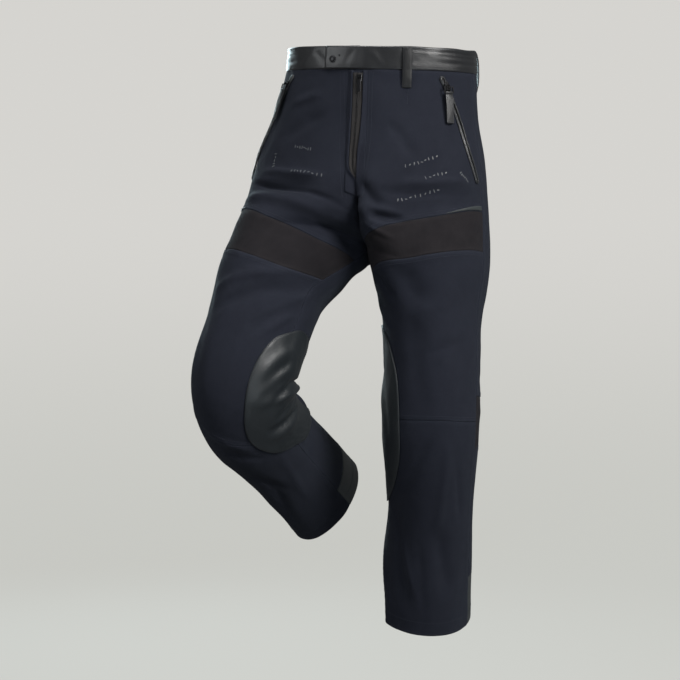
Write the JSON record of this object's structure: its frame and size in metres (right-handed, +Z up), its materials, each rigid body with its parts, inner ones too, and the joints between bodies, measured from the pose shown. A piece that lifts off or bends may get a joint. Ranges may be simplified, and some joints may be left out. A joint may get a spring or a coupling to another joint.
{
  "type": "motorcycle trousers",
  "caption": "Worn, hollow motorcycle trousers in dark twill with leather waistband and knee patches, stretch rib panels and zipped hip pockets; one knee raised and bent.",
  "frame": {"origin": "the middle of the waistband's ring, where the garment is held", "axes": "+Z up, towards the waist; -Y is the garment's front; +X is the wearer's left"},
  "size_m": [0.4586, 0.4208, 1.0201],
  "materials": {
    "twill": "matt dark navy cotton twill",
    "stretch_rib": "matt brown-black fine ribbed stretch cloth",
    "leather": "soft black leather, satin",
    "zip_tape": "woven brown-black zip tape",
    "black_metal": "black plated metal"
  },
  "bodies": {
    "garment": {"belt_loop_back_centre": "leather", "belt_loop_back_left": "leather", "belt_loop_back_right": "leather", "belt_loop_front_left": "leather", "calf_left": "twill", "calf_right": "twill", "fly_facing": "twill", "fly_slider": "black_metal", "fly_zip": "zip_tape", "front_left": "twill", "front_right": "twill", "heel_guard_left": "leather", "heel_guard_right": "leather", "knee_back_rib_left": "stretch_rib", "knee_back_rib_right": "stretch_rib", "knee_patch_left": "leather", "knee_patch_right": "leather", "pocket_frame_left": "leather", "pocket_frame_right": "leather", "pocket_slider_left": "black_metal", "pocket_slider_right": "black_metal", "pocket_zip_left": "zip_tape", "pocket_zip_right": "zip_tape", "seat_left": "twill", "seat_right": "twill", "shin_left": "twill", "shin_right": "twill", "side_trim_left": "leather", "side_trim_right": "leather", "thigh_front_left": "twill", "thigh_front_right": "twill", "thigh_rib_left": "stretch_rib", "thigh_rib_right": "stretch_rib", "waist_rivet": "black_metal", "waist_stud": "black_metal", "waistband_left": "leather", "waistband_right": "leather"},
    "fly_pull": {"fly_pull": "black_metal"},
    "right_pocket_pull": {"pocket_pull_right": "black_metal", "pocket_pull_strip_right": "leather"},
    "left_pocket_pull": {"pocket_pull_left": "black_metal", "pocket_pull_strip_left": "leather"}
  },
  "joints": [
    {"name": "fly_pull_hinge", "type": "hinge", "parent": "garment", "child": "fly_pull", "pos_m": [0.00266, -0.13751, -0.05137], "axis": [-1, 0, 0], "range_deg": [0, 110]},
    {"name": "right_pocket_pull_hinge", "type": "hinge", "parent": "garment", "child": "right_pocket_pull", "pos_m": [-0.14595, -0.08222, -0.04416], "axis": [-0.6371, 0.7098, 0.3004], "range_deg": [0, 110]},
    {"name": "left_pocket_pull_hinge", "type": "hinge", "parent": "garment", "child": "left_pocket_pull", "pos_m": [0.13996, -0.08206, -0.06287], "axis": [-0.6794, -0.7319, -0.0518], "range_deg": [0, 110]}
  ]
}
